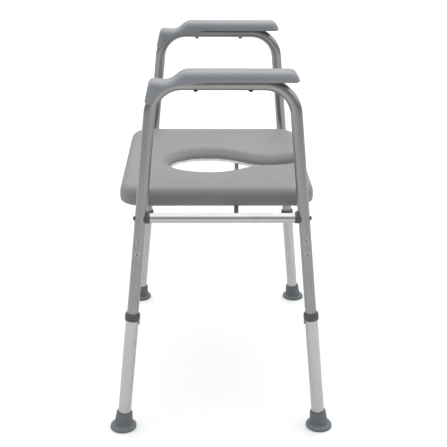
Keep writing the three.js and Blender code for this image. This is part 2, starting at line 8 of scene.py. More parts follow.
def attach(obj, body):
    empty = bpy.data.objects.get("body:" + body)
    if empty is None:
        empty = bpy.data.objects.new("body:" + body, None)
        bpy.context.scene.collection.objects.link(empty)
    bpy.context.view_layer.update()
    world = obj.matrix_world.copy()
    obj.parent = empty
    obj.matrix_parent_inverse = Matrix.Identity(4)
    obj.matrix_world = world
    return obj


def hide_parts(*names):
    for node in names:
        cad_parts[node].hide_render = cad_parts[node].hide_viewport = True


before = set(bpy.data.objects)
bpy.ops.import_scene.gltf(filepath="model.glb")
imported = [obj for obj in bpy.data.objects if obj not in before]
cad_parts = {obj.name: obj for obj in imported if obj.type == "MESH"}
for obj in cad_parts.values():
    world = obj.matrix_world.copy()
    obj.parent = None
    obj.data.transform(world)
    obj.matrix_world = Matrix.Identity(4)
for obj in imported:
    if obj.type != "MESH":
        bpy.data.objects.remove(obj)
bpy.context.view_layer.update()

# ---------------------------------------------------------------- the model's dimensions, in metres

GAP = 0.0003
FOOT_PLACE = (0.300, 0.198)
ARM_CORNER = (0.256, 0.129, 0.694)
BEND_RADIUS = 0.060
TUBE_R = 0.0111
TUBE_BORE = 0.0099
TUBE_END = 0.150
LEG_R = 0.0127
LEG_BORE = 0.0115
LEG_SPAN = (0.009, 0.248)
HOLE_TOP = 0.230
HOLE_PITCH = 0.020
HOLE_COUNT = 7
HOLE_R = 0.0038
HOLE_REACH = (0.004, 0.020)
LEAF_SPAN = (0.2085, 0.2625)
LEAF_DEPTH = (0.0072, 0.0082)
LEAF_HALF = 0.0035
PIN_R = 0.0033
COLLAR_SPAN = (0.2355, 0.2505)
COLLAR_R = 0.0148
PIN_TIP = 0.0154
RIVET_LEVELS = {"lower": 0.3755, "upper": 0.4015}
RAIL_R = 0.0095
RAIL_BORE = 0.0083
RAIL_Z = 0.441
RAIL_END = 0.1365
CROSS_Y = 0.157
CROSS_Z = 0.4335
CROSS_END = 0.246
SADDLE_R = 0.0106
SADDLE_REACH = 0.147
HUB_R = 0.0104
WEB_R = 0.007
BAR_Y = (-0.026, -0.045)
BAR_Z = 0.4384
BAR_R = 0.0046
SEAT_TOP = 0.480
SEAT_BOTTOM = 0.4435
BOARD_TOP = 0.4495
PAD_HALF = 0.025
PAD_FRONT = -0.138
PAD_TONGUE_TURN = 0.42
ARM_SCREWS = {"front": -0.050, "back": 0.050}

SIDES = {"right": -1, "left": 1}
ENDS = {"front": -1, "back": 1}
CORNERS = [(f"{end}_{side}", sx, sy) for end, sy in ENDS.items() for side, sx in SIDES.items()]

X = Vector((1, 0, 0))
Y = Vector((0, 1, 0))
Z = Vector((0, 0, 1))


# ---------------------------------------------------------------- node materials

class Shader:
    """A material with a Principled shader, and short ways to add nodes to it."""

    def __init__(self, name, colour, roughness, metallic=0.0, **sockets):
        self.material = bpy.data.materials.new(name)
        self.material.use_nodes = True
        self.tree = self.material.node_tree
        self.main = self.tree.nodes["Principled BSDF"]
        self.main.inputs["Base Color"].default_value = (*colour, 1)
        self.main.inputs["Roughness"].default_value = roughness
        self.main.inputs["Metallic"].default_value = metallic
        for socket, value in sockets.items():
            self.main.inputs[socket.replace("_", " ")].default_value = value
        self.place = self.tree.nodes.new("ShaderNodeTexCoord").outputs["Object"]

    def node(self, kind, links=None, **values):
        made = self.tree.nodes.new(kind)
        for name, value in values.items():
            socket = made.inputs.get(name.replace("_", " "))
            if socket is not None:
                socket.default_value = value
            else:
                setattr(made, name, value)
        for socket, source in (links or {}).items():
            self.tree.links.new(source, made.inputs[socket])
        return made

    def scaled(self, scale):
        return self.node("ShaderNodeMapping", {"Vector": self.place}, Scale=scale).outputs["Vector"]

    def noise(self, scale, detail=4.0, stretch=(1, 1, 1), roughness=0.5):
        vector = self.scaled(stretch)
        made = self.node(
            "ShaderNodeTexNoise",
            {"Vector": vector},
            Scale=scale,
            Detail=detail,
            Roughness=roughness,
        )
        return made.outputs["Fac"]

    def cells(self, scale):
        made = self.node("ShaderNodeTexVoronoi", {"Vector": self.place}, Scale=scale, feature="SMOOTH_F1")
        return made.outputs["Distance"]

    def spread(self, source, low, high, limits=(0.3, 0.7)):
        made = self.node(
            "ShaderNodeMapRange",
            {"Value": source},
            From_Min=limits[0],
            From_Max=limits[1],
            To_Min=low,
            To_Max=high,
        )
        return made.outputs["Result"]

    def tones(self, source, dark, light, limits=(0.3, 0.7)):
        ramp = self.node("ShaderNodeValToRGB", {"Fac": source})
        ramp.color_ramp.elements[0].position = limits[0]
        ramp.color_ramp.elements[1].position = limits[1]
        ramp.color_ramp.elements[0].color = (*dark, 1)
        ramp.color_ramp.elements[1].color = (*light, 1)
        return ramp.outputs["Color"]

    def colour_from(self, source):
        self.tree.links.new(source, self.main.inputs["Base Color"])

    def roughness_from(self, source):
        self.tree.links.new(source, self.main.inputs["Roughness"])

    def bump(self, heights):
        """heights: pairs of (source, distance in metres), laid over each other."""
        normal = None
        for source, distance in heights:
            links = {"Height": source}
            if normal is not None:
                links["Normal"] = normal
            made = self.node("ShaderNodeBump", links, Distance=distance, Strength=1.0)
            normal = made.outputs["Normal"]
        self.tree.links.new(normal, self.main.inputs["Normal"])


def shade(colour, factor):
    return tuple(min(1.0, channel * factor) for channel in colour)


def brushed_aluminium(name, colour, roughness, along):
    """Anodised tube: fine drawing lines along it and a soft mottle."""
    made = Shader(name, colour, roughness, 1.0)
    stretch = tuple(0.06 if axis == along else 1.0 for axis in "xyz")
    lines = made.noise(900, 3, stretch)
    mottle = made.noise(22, 4)
    made.colour_from(made.tones(mottle, shade(colour, 0.965), shade(colour, 1.035)))
    made.roughness_from(made.spread(lines, roughness - 0.03, roughness + 0.03))
    made.bump([(lines, 0.000005), (mottle, 0.000004)])
    return made.material


def moulded_skin(name, colour, roughness, grain, depth):
    """Integral polyurethane skin: leather-like grain, a slight cloud in the tone and in the gloss."""
    made = Shader(name, colour, roughness, 0.0, Specular_IOR_Level=0.4)
    cloud = made.noise(9, 3)
    fine = made.noise(grain * 3, 3)
    cells = made.cells(grain)
    made.colour_from(made.tones(cloud, shade(colour, 0.955), shade(colour, 1.035)))
    made.roughness_from(made.spread(cloud, roughness - 0.05, roughness + 0.06))
    made.bump([(cells, depth), (fine, depth * 0.4)])
    return made.material


def moulded_plastic(name, colour, roughness):
    """Moulded plastic with spark-eroded grain and paler rubbed patches."""
    made = Shader(name, colour, roughness, 0.0, Specular_IOR_Level=0.45)
    grain = made.noise(1400, 2)
    patch = made.noise(60, 4)
    made.colour_from(made.tones(patch, shade(colour, 0.85), shade(colour, 1.2)))
    made.roughness_from(made.spread(patch, roughness - 0.08, roughness + 0.08))
    made.bump([(grain, 0.00003)])
    return made.material


def moulded_rubber(name, colour):
    """Rubber with a dusty bloom, greyer low down where the foot is scuffed."""
    made = Shader(name, colour, 0.62, 0.0, Specular_IOR_Level=0.35)
    bloom = made.noise(38, 5)
    speck = made.noise(700, 3)
    height = made.node("ShaderNodeSeparateXYZ", {"Vector": made.place}).outputs["Z"]
    low = made.spread(height, 1.0, 0.0, (0.0, 0.012))
    scuffed = made.node("ShaderNodeMix", {"Factor": low}, data_type="RGBA")
    made.tree.links.new(made.tones(bloom, shade(colour, 0.88), shade(colour, 1.12)), scuffed.inputs["A"])
    scuffed.inputs["B"].default_value = (*shade(colour, 1.25), 1)
    made.colour_from(scuffed.outputs["Result"])
    made.roughness_from(made.spread(bloom, 0.55, 0.72))
    made.bump([(speck, 0.00004), (bloom, 0.00012)])
    return made.material


def turned_steel(name, colour, roughness):
    """Steel with faint stains."""
    made = Shader(name, colour, roughness, 1.0)
    stain = made.noise(160, 4)
    made.colour_from(made.tones(stain, shade(colour, 0.86), shade(colour, 1.1)))
    made.roughness_from(made.spread(stain, roughness - 0.08, roughness + 0.1))
    made.bump([(stain, 0.00002)])
    return made.material


def make_materials():
    return {
        "frame_tube": brushed_aluminium("frame_tube_finish", (0.265, 0.265, 0.258), 0.33, "z"),
        "leg_tube": brushed_aluminium("leg_tube_finish", (0.42, 0.42, 0.412), 0.29, "z"),
        "rail_tube": brushed_aluminium("rail_tube_finish", (0.42, 0.42, 0.413), 0.28, "y"),
        "cross_tube": brushed_aluminium("cross_tube_finish", (0.42, 0.42, 0.413), 0.28, "x"),
        "seat_skin": moulded_skin("seat_skin_finish", (0.18, 0.182, 0.18), 0.52, 620, 0.00007),
        "arm_pad": moulded_skin("arm_pad_finish", (0.195, 0.205, 0.222), 0.45, 800, 0.00004),
        "seat_board": moulded_plastic("seat_board_finish", (0.62, 0.62, 0.60), 0.55),
        "dark_plastic": moulded_plastic("dark_plastic_finish", (0.058, 0.06, 0.061), 0.48),
        "rubber": moulded_rubber("rubber_finish", (0.105, 0.119, 0.13)),
        "steel": turned_steel("steel_finish", (0.55, 0.55, 0.56), 0.3),
        "dark_steel": turned_steel("dark_steel_finish", (0.09, 0.09, 0.095), 0.42),
        # painted shade: a near-black finish for the plugs that stand in for the shade inside the rivets'
        # hollows
        "painted_shade_plug": moulded_plastic("painted_shade_plug_finish", (0.012, 0.012, 0.013), 0.6),
        "grey_steel": turned_steel("grey_steel_finish", (0.2, 0.2, 0.205), 0.4),
    }


MATERIALS = make_materials()


# ---------------------------------------------------------------- mesh helpers

def new_piece(name, vertices, faces, material, sharp=40):
    mesh = bpy.data.meshes.new(name)
    mesh.from_pydata([tuple(v) for v in vertices], [], faces)
    mesh.validate()
    made = bpy.data.objects.new(name, mesh)
    bpy.context.scene.collection.objects.link(made)
    made.data.materials.append(MATERIALS[material])
    tidy_normals(made)
    smooth(made, sharp)
    return made


def tidy_normals(made):
    work = bmesh.new()
    work.from_mesh(made.data)
    bmesh.ops.recalc_face_normals(work, faces=work.faces)
    work.to_mesh(made.data)
    work.free()


def smooth(made, sharp=40):
    made.data.shade_smooth()
    made.data.set_sharp_from_angle(angle=math.radians(sharp))


def bake(made):
    """Turns the modifiers on a piece into its mesh."""
    graph = bpy.context.evaluated_depsgraph_get()
    mesh = bpy.data.meshes.new_from_object(made.evaluated_get(graph))
    made.modifiers.clear()
    made.data = mesh


def combine(made, others, operation):
    """Joins to, or cuts from, a piece the others, which are then deleted."""
    for other in others:
        step = made.modifiers.new(operation, "BOOLEAN")
        step.operation = operation
        step.solver = "EXACT"
        step.object = other
        bake(made)
        bpy.data.objects.remove(other)
    return made


def soften(made, width, segments=3, angle=35):
    step = made.modifiers.new("edge", "BEVEL")
    step.width = width
    step.segments = segments
    step.limit_method = "ANGLE"
    step.angle_limit = math.radians(angle)
    bake(made)
    smooth(made, 50)
    return made


def finish_piece(made, body, nodes):
    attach(made, body)
    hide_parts(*nodes)


def rings_to_faces(count, sides, closed):
    faces = []
    for ring in range(count if closed else count - 1):
        following = (ring + 1) % count
        for i in range(sides):
            j = (i + 1) % sides
            faces.append((ring * sides + i, ring * sides + j, following * sides + j, following * sides + i))
    return faces


def across(axis):
    """Two unit vectors at right angles to an axis and to each other."""
    first = axis.orthogonal().normalized()
    return first, axis.cross(first).normalized()


def circle(middle, first, second, radius, sides):
    turns = (2 * math.pi * i / sides for i in range(sides))
    return [middle + radius * (math.cos(turn) * first + math.sin(turn) * second) for turn in turns]


def circles_along(stations, radius, sides):
    """Circles square to stations of (place, heading), without twist."""
    first, _ = across(stations[0][1])
    loops = []
    for place, heading in stations:
        first = (first - heading * first.dot(heading)).normalized()
        loops.append(circle(place, first, heading.cross(first), radius, sides))
    return loops


def sweep(name, stations, radius, bore, material, sides=48):
    """A pipe along stations of (place, heading). Its ends are rings, so it stays open."""
    loops = circles_along(stations, radius, sides) + circles_along(stations, bore, sides)[::-1]
    vertices = [point for loop in loops for point in loop]
    return new_piece(name, vertices, rings_to_faces(len(loops), sides, True), material)


def solid_sweep(stations, radius, sides=48):
    """A filled rod along stations, for cutting."""
    loops = circles_along(stations, radius, sides)
    vertices = [point for loop in loops for point in loop]
    faces = rings_to_faces(len(loops), sides, False)
    faces.append(tuple(range(sides)))
    faces.append(tuple(range(len(vertices) - sides, len(vertices))))
    return new_piece("tool", vertices, faces, "arm_pad")


def stacked(loops, closed=False):
    """Vertices and faces of loops that follow each other. A loop of one point is a tip."""
    vertices, rings = [], []
    for loop in loops:
        rings.append(range(len(vertices), len(vertices) + len(loop)))
        vertices += loop
    faces = []
    for low, high in zip(rings, rings[1:] + rings[:1] if closed else rings[1:]):
        sides = max(len(low), len(high))
        for i in range(sides):
            j = (i + 1) % sides
            if len(low) == 1:
                faces.append((low[0], high[j], high[i]))
            elif len(high) == 1:
                faces.append((low[i], low[j], high[0]))
            else:
                faces.append((low[i], low[j], high[j], high[i]))
    return vertices, faces


def turned(name, profile, place, axis, material, sides=48, sharp=35):
    """A body turned about an axis from (radius, height) pairs, on the axis at both ends or closed."""
    first, second = across(axis)
    loops = []
    for radius, height in profile:
        middle = place + axis * height
        loops.append(circle(middle, first, second, radius, sides) if radius else [middle])
    vertices, faces = stacked(loops, closed=profile[0][0] > 0)
    return new_piece(name, vertices, faces, material, sharp)


def cylinder(start, end, radius, material="steel", sides=48):
    axis = end - start
    profile = [(0, 0), (radius, 0), (radius, axis.length), (0, axis.length)]
    return turned("tool", profile, start, axis.normalized(), material, sides)


BOX_FACES = [(0, 1, 3, 2), (4, 6, 7, 5), (0, 4, 5, 1), (2, 3, 7, 6), (0, 2, 6, 4), (1, 5, 7, 3)]


def box_piece(low, high, material="steel"):
    xs, ys, zs = zip(low, high)
    corners = [(x, y, z) for x in xs for y in ys for z in zs]
    return new_piece("tool", corners, BOX_FACES, material)


def curve(start, first, second, end, steps):
    """Points of a cubic curve, without its last one."""
    return [curve_point(start, first, second, end, i / steps) for i in range(steps)]


def curve_point(start, first, second, end, t):
    u = 1 - t
    weights = (u ** 3, 3 * u * u * t, 3 * u * t * t, t ** 3)
    return tuple(
        sum(w * p[axis] for w, p in zip(weights, (start, first, second, end)))
        for axis in range(2)
    )


def arc(centre, radius, start, end, steps):
    return [
        (
            centre[0] + radius * math.cos(start + (end - start) * i / steps),
            centre[1] + radius * math.sin(start + (end - start) * i / steps),
        )
        for i in range(steps + 1)
    ]


# ---------------------------------------------------------------- legs

def leg_up(sx, sy):
    return Vector((
        sx * (ARM_CORNER[0] - FOOT_PLACE[0]),
        sy * (ARM_CORNER[1] - FOOT_PLACE[1]),
        ARM_CORNER[2],
    )).normalized()


def on_leg(sx, sy, distance):
    return Vector((sx * FOOT_PLACE[0], sy * FOOT_PLACE[1], 0)) + leg_up(sx, sy) * distance


def leg_axes(sx, sy):
    """Along the leg, towards the middle of the side, and out of the side."""
    up = leg_up(sx, sy)
    inward = Vector((0, -sy, 0))
    inward = (inward - up * inward.dot(up)).normalized()
    outward = up.cross(inward) if sx * up.cross(inward).x > 0 else inward.cross(up)
    return up, inward, outward.normalized()


def bend_stations(corner, into, out, steps):
    turn = into.angle(out)
    start = corner - into * (BEND_RADIUS * math.tan(turn / 2))
    axis = into.cross(out).normalized()
    centre = start + axis.cross(into) * BEND_RADIUS
    stations = []
    for i in range(steps + 1):
        spin = Matrix.Rotation(turn * i / steps, 3, axis)
        stations.append((centre + spin @ (start - centre), spin @ into))
    return stations


def side_stations(sx, steps=24):
    up = leg_up(sx, -1)
    down = -leg_up(sx, 1)
    front = Vector((sx * ARM_CORNER[0], -ARM_CORNER[1], ARM_CORNER[2]))
    back = Vector((sx * ARM_CORNER[0], ARM_CORNER[1], ARM_CORNER[2]))
    stations = [(on_leg(sx, -1, TUBE_END), up)]
    stations += bend_stations(front, up, Y, steps)
    stations += bend_stations(back, Y, down, steps)
    stations.append((on_leg(sx, 1, TUBE_END), down))
    return stations


def hole_cutter(sx, sy, distance, material):
    """A rod where a hole for the button goes, this far up the leg."""
    _, inward, _ = leg_axes(sx, sy)
    level = on_leg(sx, sy, distance)
    near, far = HOLE_REACH
    return cylinder(level + inward * near, level + inward * far, HOLE_R, material, 24)


def make_side_frames():
    for side, sx in SIDES.items():
        tube = sweep(f"frame_tube_{side}", side_stations(sx), TUBE_R, TUBE_BORE, "frame_tube")
        holes = [hole_cutter(sx, sy, HOLE_TOP, "frame_tube") for sy in ENDS.values()]
        combine(tube, holes, "DIFFERENCE")
        smooth(tube)
        finish_piece(tube, "frame", [f"side_frame_{side}"])


def make_leg_tube(corner, sx, sy):
    ends = [(on_leg(sx, sy, distance), leg_up(sx, sy)) for distance in LEG_SPAN]
    tube = sweep(f"leg_outer_{corner}", ends, LEG_R, LEG_BORE, "leg_tube")
    holes = [
        hole_cutter(sx, sy, HOLE_TOP - i * HOLE_PITCH, "leg_tube")
        for i in range(HOLE_COUNT)
    ]
    combine(tube, holes, "DIFFERENCE")
    smooth(tube)
    finish_piece(tube, f"leg_{corner}", [f"leg_tube_{corner}"])


def make_collar(corner, sx, sy):
    low, high = COLLAR_SPAN
    bore, lip, shelf = LEG_R + GAP, TUBE_R + GAP, LEG_SPAN[1] + GAP
    profile = [
        (bore, low),
        (COLLAR_R - 0.0008, low),
        (COLLAR_R - 0.0002, low + 0.0004),
        (COLLAR_R, low + 0.0012),
        (COLLAR_R, high - 0.0042),
        (COLLAR_R - 0.0003, high - 0.0030),
        (COLLAR_R - 0.0009, high - 0.0014),
        (COLLAR_R - 0.0016, high - 0.0004),
        (COLLAR_R - 0.0024, high),
        (lip + 0.0004, high),
        (lip, high - 0.0004),
        (lip, shelf),
        (bore, shelf),
    ]
    ring = turned(f"ring_{corner}", profile, on_leg(sx, sy, 0), leg_up(sx, sy), "dark_plastic", 64)
    finish_piece(ring, f"leg_{corner}", [f"collar_{corner}"])


def make_foot(corner, sx, sy):
    """Flared rubber foot: its base is level, its neck and socket follow the leg.

    The circles are (distance up the leg, radius, how far the circle leans with the leg).
    """
    up = leg_up(sx, sy)
    sides = 64
    socket = LEG_R + GAP
    circles = [
        (0.0, 0.0, 0.0),
        (0.0, 0.0212, 0.0),
        (0.0, 0.0245, 0.0),
        (0.0004, 0.0253, 0.0),
        (0.0012, 0.0259, 0.0),
        (0.0028, 0.0260, 0.0),
        (0.0045, 0.0259, 0.0),
        (0.0058, 0.0253, 0.05),
        (0.0066, 0.0244, 0.1),
        (0.0070, 0.0232, 0.12),
        (0.0073, 0.0214, 0.15),
        (0.0077, 0.0201, 0.2),
        (0.0086, 0.0192, 0.3),
        (0.0105, 0.0186, 0.45),
        (0.0130, 0.0182, 0.6),
        (0.0170, 0.0176, 0.8),
        (0.0220, 0.0170, 1.0),
        (0.0290, 0.0163, 1.0),
        (0.0340, 0.0158, 1.0),
        (0.0347, 0.0154, 1.0),
        (0.0350, 0.0148, 1.0),
        (0.0350, socket + 0.0006, 1.0),
        (0.0344, socket, 1.0),
        (0.0087, socket, 1.0),
        (0.0087, 0.0, 1.0),
    ]
    turns = [2 * math.pi * i / sides for i in range(sides)]
    round_points = [Vector((math.cos(turn), math.sin(turn), 0)) for turn in turns]
    loops = []
    for distance, radius, lean in circles:
        axis = Z.lerp(up, lean).normalized()
        spin = Z.rotation_difference(axis).to_matrix()
        middle = on_leg(sx, sy, distance)
        loops.append([middle + spin @ (radius * point) for point in round_points] if radius else [middle])
    vertices, faces = stacked(loops)
    made = new_piece(f"rubber_foot_{corner}", vertices, faces, "rubber", 32)
    finish_piece(made, f"leg_{corner}", [f"foot_{corner}"])


def make_button(corner, sx, sy):
    """A domed pin through the hole, on a leaf that lies inside the frame tube."""
    up, inward, _ = leg_axes(sx, sy)
    level = on_leg(sx, sy, HOLE_TOP)
    profile = [
        (0, LEAF_DEPTH[0]),
        (PIN_R, LEAF_DEPTH[0]),
        (PIN_R, PIN_TIP - 0.0020),
        (PIN_R - 0.0003, PIN_TIP - 0.0011),
        (PIN_R - 0.0010, PIN_TIP - 0.0004),
        (PIN_R - 0.0021, PIN_TIP - 0.0001),
        (0, PIN_TIP),
    ]
    pin = turned(f"button_pin_{corner}", profile, level, inward, "grey_steel", 32, 50)
    side = up.cross(inward)
    corners = [
        on_leg(sx, sy, height) + side * across_leg + inward * depth
        for height in LEAF_SPAN
        for across_leg in (-LEAF_HALF, LEAF_HALF)
        for depth in LEAF_DEPTH
    ]
    leaf = new_piece("tool", corners, BOX_FACES, "grey_steel")
    combine(pin, [leaf], "UNION")
    finish_piece(pin, f"button_{corner}", [f"snap_button_{corner}"])


def make_rivets(corner, sx, sy):
    """Tubular rivets: a bright rolled ring round a near-black plug, which is painted shade standing in for
    the dark inside of the hollow.
    """
    _, _, outward = leg_axes(sx, sy)
    face = TUBE_R + 0.0001
    ring = [
        (0.0030, face - 0.0016),
        (0.0047, face - 0.0002),
        (0.0047, face + 0.0003),
        (0.0044, face + 0.0009),
        (0.0038, face + 0.0012),
        (0.0032, face + 0.0010),
        (0.0029, face + 0.0002),
        (0.0028, face - 0.0010),
    ]
    # profile of the near-black plug that fills the rivet's hollow up to just under its face, painted shade
    # in place of the hole's depth
    painted_shade_plug = [
        (0, 0.0085),
        (0.0023, 0.0085),
        (0.0023, face - 0.0014),
        (0.0027, face - 0.0008),
        (0.0027, face - 0.0001),
        (0.0012, face - 0.0005),
        (0, face - 0.0006),
    ]
    for place, level in RIVET_LEVELS.items():
        middle = on_leg(sx, sy, level)
        rolled = turned(f"rivet_ring_{place}_{corner}", ring, middle, outward, "steel", 32)
        finish_piece(rolled, "frame", [f"rivet_{place}_{corner}"])
        # the plug is painted shade: a near-black body where the real rivet shows only a shaded hole
        shade_plug_piece = turned(f"rivet_core_{place}_{corner}", painted_shade_plug, middle, outward, "painted_shade_plug", 32)
        finish_piece(shade_plug_piece, "frame", [])


# ---------------------------------------------------------------- seat frame

def rail_corner(sx, sy):
    share = RAIL_Z / ARM_CORNER[2]
    return Vector((
        sx * (FOOT_PLACE[0] + (ARM_CORNER[0] - FOOT_PLACE[0]) * share),
        sy * (FOOT_PLACE[1] + (ARM_CORNER[1] - FOOT_PLACE[1]) * share),
        RAIL_Z,
    ))


def make_rail(name, start, end, material, node):
    heading = (end - start).normalized()
    made = sweep(name, [(start, heading), (end, heading)], RAIL_R, RAIL_BORE, material)
    finish_piece(made, "frame", [node])


def make_seat_frame():
    for side, sx in SIDES.items():
        x = rail_corner(sx, 1).x
        ends = Vector((x, -RAIL_END, RAIL_Z)), Vector((x, RAIL_END, RAIL_Z))
        make_rail(f"rail_{side}", *ends, "rail_tube", f"side_rail_{side}")
    for end, sy in ENDS.items():
        y = sy * CROSS_Y
        ends = Vector((-CROSS_END, y, CROSS_Z)), Vector((CROSS_END, y, CROSS_Z))
        make_rail(f"crossing_{end}", *ends, "cross_tube", f"cross_tube_{end}")
    reach = rail_corner(1, 1).x - RAIL_BORE + 0.002
    ends = Vector((-reach, BAR_Y[0], BAR_Z)), Vector((reach, BAR_Y[1], BAR_Z))
    bar = cylinder(*ends, BAR_R, "grey_steel")
    bar.name = "bar_under_seat"
    finish_piece(bar, "frame", ["support_bar"])


def make_saddle(corner, sx, sy):
    """A sleeve on the rail's end, a hub on the cross tube's end and a web, cut to fit the leg."""
    place = rail_corner(sx, sy)
    x, y = place.x, place.y
    rail_face = sy * (RAIL_END + GAP)
    cross_face = sx * (CROSS_END + GAP)
    ends = Vector((x, rail_face, RAIL_Z)), Vector((x, sy * SADDLE_REACH, RAIL_Z))
    made = cylinder(*ends, SADDLE_R, "dark_plastic")
    made.name = f"saddle_{corner}"
    hub = cylinder(
        Vector((cross_face, sy * CROSS_Y, CROSS_Z)),
        Vector((x - sx * 0.007, sy * CROSS_Y, CROSS_Z)),
        HUB_R,
        "dark_plastic",
    )
    web = cylinder(
        Vector((x - sx * 0.012, y - sy * 0.009, CROSS_Z - 0.004)),
        Vector((x - sx * 0.012, y - sy * 0.009, RAIL_Z + 0.008)),
        WEB_R,
        "dark_plastic",
    )
    combine(made, [hub, web], "UNION")
    cut = cylinder(on_leg(sx, sy, 0.38), on_leg(sx, sy, 0.50), TUBE_R + 0.0001, "dark_plastic", 64)
    xs = sorted((x + sx * 0.003, x + sx * 0.030))
    ys = sorted((y + sy * 0.002, y + sy * 0.040))
    outside = box_piece((xs[0], ys[0], 0.40), (xs[1], ys[1], 0.49), "dark_plastic")
    combine(made, [cut, outside], "DIFFERENCE")
    soften(made, 0.0008, 2)
    finish_piece(made, "frame", [f"corner_saddle_{corner}"])


def make_rail_bolt(corner, sx, sy):
    face = TUBE_R + 0.0008
    profile = [
        (0, -0.030),
        (0.003, -0.030),
        (0.003, face),
        (0.0039, face),
        (0.0039, face + 0.0008),
        (0.0036, face + 0.0016),
        (0.0029, face + 0.0023),
        (0.0020, face + 0.0026),
        (0.0016, face + 0.0025),
        (0.0014, face + 0.0014),
        (0, face + 0.0014),
    ]
    made = turned(f"bolt_{corner}", profile, rail_corner(sx, sy), Vector((0, sy, 0)), "dark_steel", 48)
    finish_piece(made, "frame", [f"rail_bolt_{corner}"])


# ---------------------------------------------------------------- seat

SLOT = 0.023
SLOT_START = -0.092
OPENING_WIDE = 0.070
OPENING_MIDDLE = 0.022
OPENING_BACK = 0.108
SEAT_HALF = 0.218
SEAT_FRONT = -0.181
SEAT_BACK = 0.200
SEAT_CORNER = 0.045
MOUTH = 0.014
SLOT_PULL = -0.055
SIDE_PULL = -0.035
BACK_PULL = 0.075
ROUND_PULL = 0.038
SEAT_EDGE = 0.019
SEAT_INNER_EDGE = 0.022
SEAT_FOOT_EDGE = 0.003
SEAT_DISH = 0.009
DISH_REACH = 0.110
BOARD_INSET = 0.009
BOARD_SETBACK = 0.0006


def keyhole(grow, open_by, steps=20):
    """The seat from above, anticlockwise, grown outwards and with its cut-out opened.

    Gives (x, y, whether the point is on the cut-out).
    """
    side, corner = SEAT_HALF + grow, SEAT_CORNER + grow
    front, back = SEAT_FRONT - grow, SEAT_BACK + grow
    wide, slot, end = OPENING_WIDE + open_by, SLOT + open_by, OPENING_BACK + open_by
    quarter = math.pi / 2
    third = MOUTH / 3
    right = curve(
        (slot, front + MOUTH),
        (slot, front + third),
        (slot + third, front),
        (slot + MOUTH, front),
        8,
    )
    right += arc((side - corner, front + corner), corner, -quarter, 0, steps)
    right += arc((side - corner, back - corner), corner, 0, quarter, steps)
    left = [(-x, y) for x, y in reversed(right)]
    widest = (-wide, OPENING_MIDDLE)
    inside = curve((-slot, SLOT_START), (-slot, SLOT_PULL), (-wide, SIDE_PULL), widest, steps)
    inside += curve(widest, (-wide, BACK_PULL), (-ROUND_PULL - open_by, end), (0, end), steps)
    closing = [(-x, y) for x, y in reversed(inside)]
    outside = [(x, y, False) for x, y in right + left]
    return outside + [(x, y, True) for x, y in inside + [(0, end)] + closing]


def lofted(name, loops, material):
    """A closed body through loops that all have as many points, with flat ends."""
    count = len(loops[0])
    vertices = [point for loop in loops for point in loop]
    faces = rings_to_faces(len(loops), count, False)
    for first, loop in ((0, loops[0]), ((len(loops) - 1) * count, loops[-1])):
        flat = geometry.tessellate_polygon([[Vector(point) for point in loop]])
        faces += [tuple(first + i for i in face) for face in flat]
    return new_piece(name, vertices, faces, material)


def remeshed(made, size, rounds):
    """Even small faces, with the edges relaxed by smoothing."""
    step = made.modifiers.new("even", "REMESH")
    step.mode = "VOXEL"
    step.voxel_size = size
    bake(made)
    step = made.modifiers.new("relax", "SMOOTH")
    step.factor = 0.5
    step.iterations = rounds
    bake(made)
    made.data.shade_smooth()
    return made


def ease(value, low, high):
    t = min(1.0, max(0.0, (value - low) / (high - low)))
    return t * t * (3 - 2 * t)


def dish_depth(x, y):
    """How far the seat's top has sunk towards the cut-out."""
    inside = ease(SEAT_HALF - abs(x), 0.010, DISH_REACH)
    inside *= ease(y - SEAT_FRONT, -0.020, 0.070) * ease(SEAT_BACK - y, 0.010, DISH_REACH)
    return SEAT_DISH * inside


def seat_loop(grow, open_by, outer_z, inner_z):
    """The keyhole as one loop, with its outline and its cut-out at heights of their own."""
    return [(x, y, inner_z if inner else outer_z) for x, y, inner in keyhole(grow, open_by)]


def make_cushion():
    """Moulded foam seat: a lofted keyhole with soft edges and a pocket below, remeshed and dished."""
    ceiling = BOARD_TOP + GAP
    inset = -BOARD_INSET + GAP
    loops = [
        seat_loop(inset, 0.004, ceiling, ceiling),
        seat_loop(inset, 0.004, SEAT_BOTTOM, ceiling),
        seat_loop(-SEAT_FOOT_EDGE, 0.001, SEAT_BOTTOM, ceiling),
        seat_loop(-SEAT_FOOT_EDGE * 0.3, 0.0003, SEAT_BOTTOM + SEAT_FOOT_EDGE * 0.3, ceiling + 0.0003),
        seat_loop(0, 0, SEAT_BOTTOM + SEAT_FOOT_EDGE, ceiling + 0.001),
    ]
    steps = 10
    for i in range(steps + 1):
        turn = math.pi / 2 * i / steps
        sink, rise = 1 - math.cos(turn), math.sin(turn) - 1
        loops.append(seat_loop(
            -SEAT_EDGE * sink,
            SEAT_INNER_EDGE * sink,
            SEAT_TOP + SEAT_EDGE * rise,
            SEAT_TOP + SEAT_INNER_EDGE * rise,
        ))
    made = remeshed(lofted("seat_foam", loops, "seat_skin"), 0.0027, 5)
    for vertex in made.data.vertices:
        x, y, z = vertex.co
        share = ease(z, BOARD_TOP, SEAT_TOP - 0.006)
        swell = 0.0003 * noise.noise(vertex.co * 14)
        vertex.co.z = z - share * (dish_depth(x, y) - swell)
    finish_piece(made, "frame", ["seat_cushion"])


def make_board():
    """A flat panel in the cushion's pocket, with its edges taken off."""
    edge = 0.001
    levels = [(edge, SEAT_BOTTOM), (0, SEAT_BOTTOM + edge), (0, BOARD_TOP - edge), (edge, BOARD_TOP)]
    loops = [
        seat_loop(-BOARD_INSET - cut, BOARD_SETBACK + cut, level, level)
        for cut, level in levels
    ]
    made = lofted("seat_panel", loops, "seat_board")
    finish_piece(made, "frame", ["seat_board"])


# ---------------------------------------------------------------- armrests

PAD_TOP = 0.720
PAD_BOTTOM = 0.701
PAD_STEP = 0.070
PAD_BACK = 0.143
PAD_DIP = 0.7005
PAD_EDGE = 0.012


